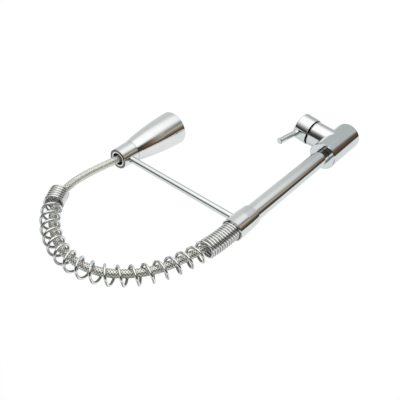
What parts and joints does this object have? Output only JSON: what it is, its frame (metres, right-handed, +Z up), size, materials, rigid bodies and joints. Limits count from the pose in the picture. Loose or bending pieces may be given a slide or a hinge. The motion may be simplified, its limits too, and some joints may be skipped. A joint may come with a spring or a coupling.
{
  "type": "spring-arch kitchen faucet",
  "caption": "Single-lever deck faucet with a swivelling riser, a spring arch over a braided hose, and a docked pull-down bell spray head on a side arm.",
  "frame": {"origin": "centre of the body's base face, where it stands on the deck", "axes": "+Z up along the riser, +X from the riser towards the spray head, +Y completes the right-handed set"},
  "size_m": [0.2633, 0.0544, 0.5038],
  "materials": {
    "chrome": "polished",
    "brass": "machined",
    "steel": "polished",
    "rubber": "matte",
    "white_plastic": "satin",
    "liner_plastic": "gloss",
    "grey_plastic": "satin",
    "silicone": "matte",
    "ceramic": "gloss",
    "braid": "woven"
  },
  "bodies": {
    "base": {"valve_body": "chrome", "base_seal": "rubber", "retaining_screw": "steel", "cartridge_body": "white_plastic", "cartridge_seal": "rubber", "disc_fixed": "ceramic", "cartridge_nut": "brass", "dome_cover": "chrome", "swivel_washer": "white_plastic"},
    "spout": {"spout_spigot": "brass", "spigot_oring_lower": "rubber", "spigot_oring_upper": "rubber", "riser_tube": "chrome", "riser_fitting": "brass", "collar": "chrome", "arm_rod": "chrome", "docking_sleeve": "chrome", "dock_liner": "liner_plastic", "spring": "steel", "hose": "braid", "hose_tail_nut": "chrome"},
    "head": {"head_shell": "chrome", "head_connector": "chrome", "head_ferrule": "steel", "head_washer": "rubber", "check_valve": "white_plastic", "inner_guide": "white_plastic", "guide_oring": "rubber", "spray_face": "grey_plastic", "nozzle_mat": "silicone", "aerator": "steel"},
    "carrier": {"cartridge_carrier": "white_plastic", "pivot_pin": "steel"},
    "puck": {"disc_moving": "ceramic"},
    "lever": {"lever_stem": "brass", "lever_cap": "chrome", "pin_handle": "chrome"}
  },
  "joints": [
    {"name": "spout_swivel", "type": "hinge", "parent": "base", "child": "spout", "pos_m": [0, 0, 0.07], "axis": [0, 0, 1], "continuous": true},
    {"name": "head_pull", "type": "slide", "parent": "spout", "child": "head", "axis": [0, 0, -1], "range_m": [0, 0.15], "stiffness_N_per_m": 60, "springref_m": -0.12, "deforming": ["hose"]},
    {"name": "lever_turn", "type": "hinge", "parent": "base", "child": "carrier", "pos_m": [0, 0, 0.039], "axis": [0.9962, -0.0872, 0], "range_deg": [-45, 45]},
    {"name": "lever_tilt", "type": "hinge", "parent": "carrier", "child": "lever", "pos_m": [0.03487, -0.00305, 0.039], "axis": [0.0872, 0.9962, 0], "range_deg": [0, 20]},
    {"name": "disc_slide", "type": "slide", "parent": "carrier", "child": "puck", "axis": [0, 0, 1], "range_m": [0, 0.0027]}
  ],
  "couplings": [
    {"joint": "disc_slide", "follows": "lever_tilt", "m_per_rad": 0.0077}
  ]
}
